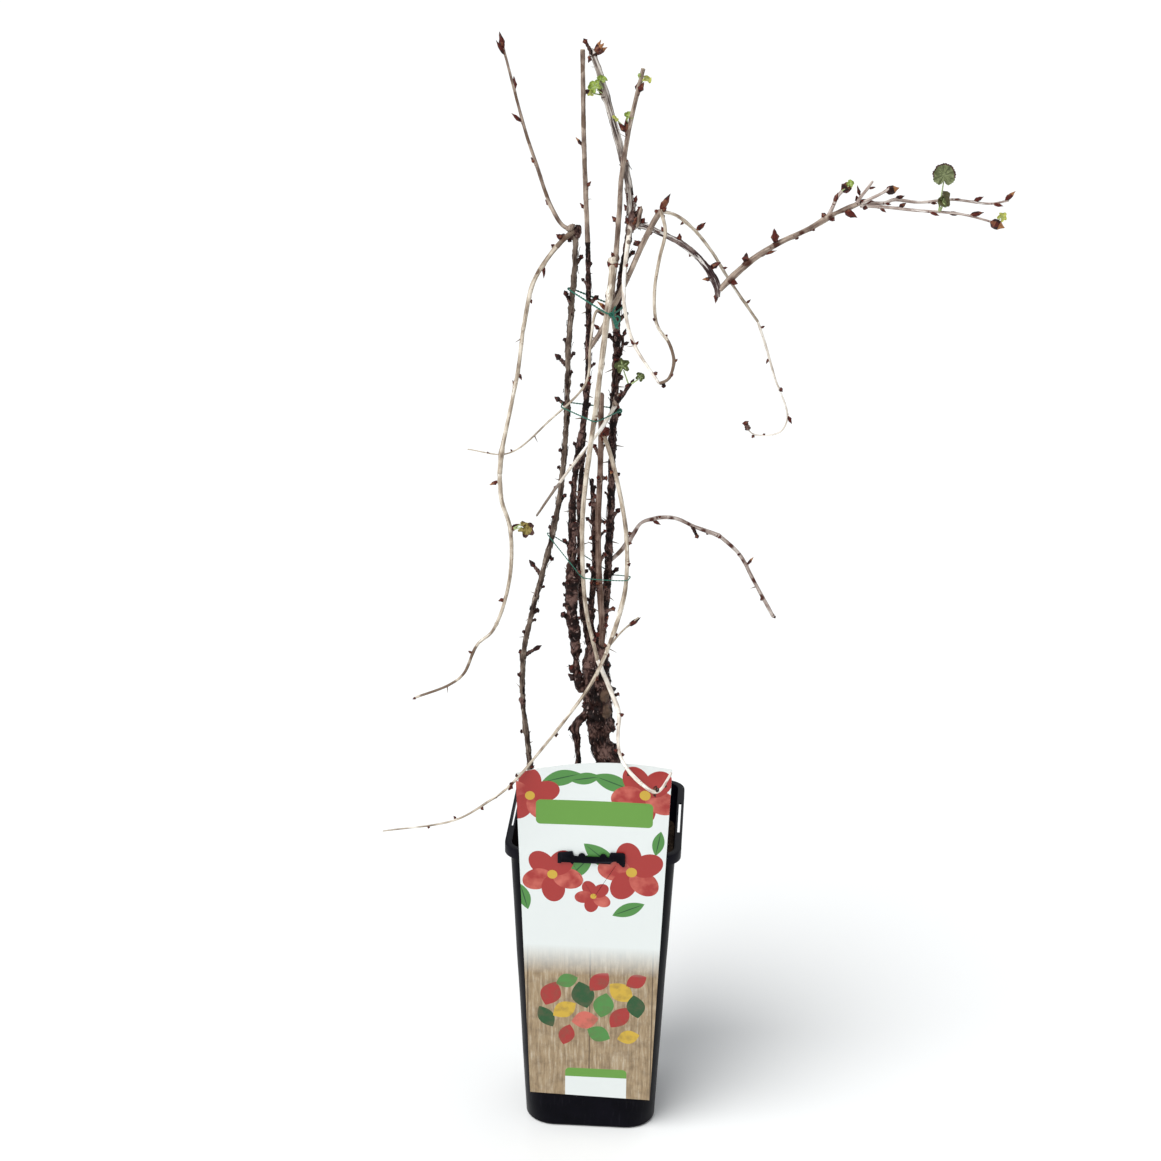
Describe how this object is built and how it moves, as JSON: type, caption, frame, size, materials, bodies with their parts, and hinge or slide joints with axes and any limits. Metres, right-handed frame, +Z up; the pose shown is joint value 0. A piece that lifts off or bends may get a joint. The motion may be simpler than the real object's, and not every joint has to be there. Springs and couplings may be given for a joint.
{
  "type": "potted gooseberry bush",
  "caption": "Young gooseberry bush with bare budding shoots, tied in a bundle and growing in a tall square black pot with a picture label.",
  "frame": {"origin": "centre of the pot's flat underside, on the surface that it stands on", "axes": "+Z up; the label and the front of the pot face -Y; +X is to the right seen from the front"},
  "size_m": [0.4979, 0.1953, 0.947],
  "materials": {
    "black_plastic": "semi-matt moulded black plastic",
    "compost": "moist peat compost",
    "label_card": "printed plastic card with a soft sheen",
    "old_bark": "rough dark flaking bark",
    "grey_bark": "smooth grey-brown bark",
    "grey_shoot": "smooth grey-brown bark",
    "tan_shoot": "smooth tan bark with pale streaks",
    "pale_shoot": "smooth pale tan bark",
    "twine": "green garden twine"
  },
  "bodies": {
    "root": {"pot": "black_plastic", "compost": "compost", "label": "label_card", "trunk": "old_bark", "side_root": "old_bark", "left_bough": "old_bark", "back_bough": "old_bark", "rear_left_bough": "old_bark", "middle_bough": "old_bark", "left_outer_stem": "old_bark", "right_bough": "grey_bark", "right_arm": "grey_bark", "shoot_top": "grey_shoot", "leafy_spur": "grey_shoot", "thorny_spur": "grey_shoot", "shoot_left": "tan_shoot", "shoot_cut": "tan_shoot", "shoot_right": "tan_shoot", "inner_arm": "tan_shoot", "right_spray": "tan_shoot", "low_right_arch_upper": "tan_shoot", "low_right_arch_lower": "tan_shoot", "right_arch_upper": "pale_shoot", "right_arch_lower": "pale_shoot", "front_shoot_upper": "pale_shoot", "front_shoot_lower": "pale_shoot", "low_left_shoot_upper": "pale_shoot", "low_left_shoot_lower": "pale_shoot", "thin_front_twig": "pale_shoot", "thin_rear_twig": "pale_shoot", "left_arch_upper": "pale_shoot", "left_arch_middle": "pale_shoot", "left_arch_lower": "pale_shoot", "loop_right_half": "pale_shoot", "loop_left_half": "pale_shoot", "low_spur": "pale_shoot", "tie_top": "twine", "tie_middle": "twine", "tie_low": "twine"}
  },
  "joints": []
}
